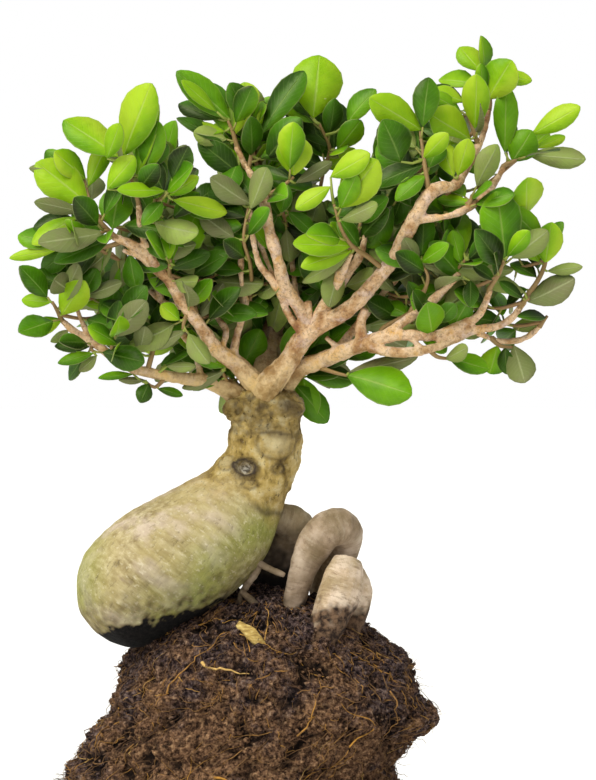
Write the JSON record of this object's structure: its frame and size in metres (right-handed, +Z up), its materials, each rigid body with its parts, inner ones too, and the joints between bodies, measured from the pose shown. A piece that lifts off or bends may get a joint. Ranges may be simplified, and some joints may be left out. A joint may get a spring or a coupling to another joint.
{
  "type": "bonsai tree in a pot",
  "caption": "Fig bonsai with a fat tilted swollen root, short trunk, wide crown of glossy leaves and a proud root ball, standing in a plain oval stoneware pot.",
  "frame": {"origin": "middle of the pot's flat underside", "axes": "+Z up the tree, +X to the right of the front along the pot's length, -Y towards the front"},
  "size_m": [0.3786, 0.2364, 0.5835],
  "materials": {
    "stoneware": "matt unglazed dark brown stoneware",
    "soil": "loose damp potting earth with fine fibres",
    "root_bark": "smooth thin bark, tan with a green tint, fine wrinkles",
    "limb_bark": "thin pinkish-tan bark with small raised dots",
    "bark_chip": "dry pale chip",
    "leaves": "glossy waxy leaves, lime when young, dark when old, paler underneath"
  },
  "bodies": {
    "root": {"pot": "stoneware", "soil": "soil", "swollen_root_and_trunk": "root_bark", "back_root": "root_bark", "looped_root": "root_bark", "front_root": "root_bark", "rootlet": "root_bark", "bark_chip": "bark_chip", "right_high_limb": "limb_bark", "middle_limb": "limb_bark", "left_high_limb": "limb_bark", "left_low_limb": "limb_bark", "back_limb": "limb_bark", "right_low_limb": "limb_bark", "top_left_spray": "leaves", "left_shoulder_spray": "leaves", "left_front_spray": "leaves", "left_edge_spray": "leaves", "left_inner_spray": "leaves", "left_limb_spray": "leaves", "far_left_spray": "leaves", "low_left_tip_spray": "leaves", "low_left_under_spray": "leaves", "low_left_twig_spray": "leaves", "low_left_loop_spray": "leaves", "left_hollow_spray": "leaves", "left_fork_spray": "leaves", "trunk_side_spray": "leaves", "left_middle_spray": "leaves", "upright_spray": "leaves", "upper_middle_spray": "leaves", "peak_spray": "leaves", "middle_twig_spray": "leaves", "top_spray": "leaves", "inner_twig_spray": "leaves", "inner_right_spray": "leaves", "right_stub_spray": "leaves", "right_low_lime_spray": "leaves", "right_tip_spray": "leaves", "right_upper_spray": "leaves", "right_end_spray": "leaves", "right_branch_spray": "leaves", "right_dark_spray": "leaves", "right_outer_spray": "leaves", "right_side_spray": "leaves", "right_middle_spray": "leaves", "long_leaf_spray": "leaves", "right_low_spray": "leaves", "right_far_spray": "leaves", "right_hanging_spray": "leaves", "right_under_spray": "leaves", "low_leaf_spray": "leaves", "under_fork_spray": "leaves", "back_left_low_spray": "leaves", "back_left_high_spray": "leaves", "back_spray": "leaves", "back_top_spray": "leaves", "back_right_high_spray": "leaves", "back_right_low_spray": "leaves", "crown_heart_spray": "leaves"}
  },
  "joints": []
}
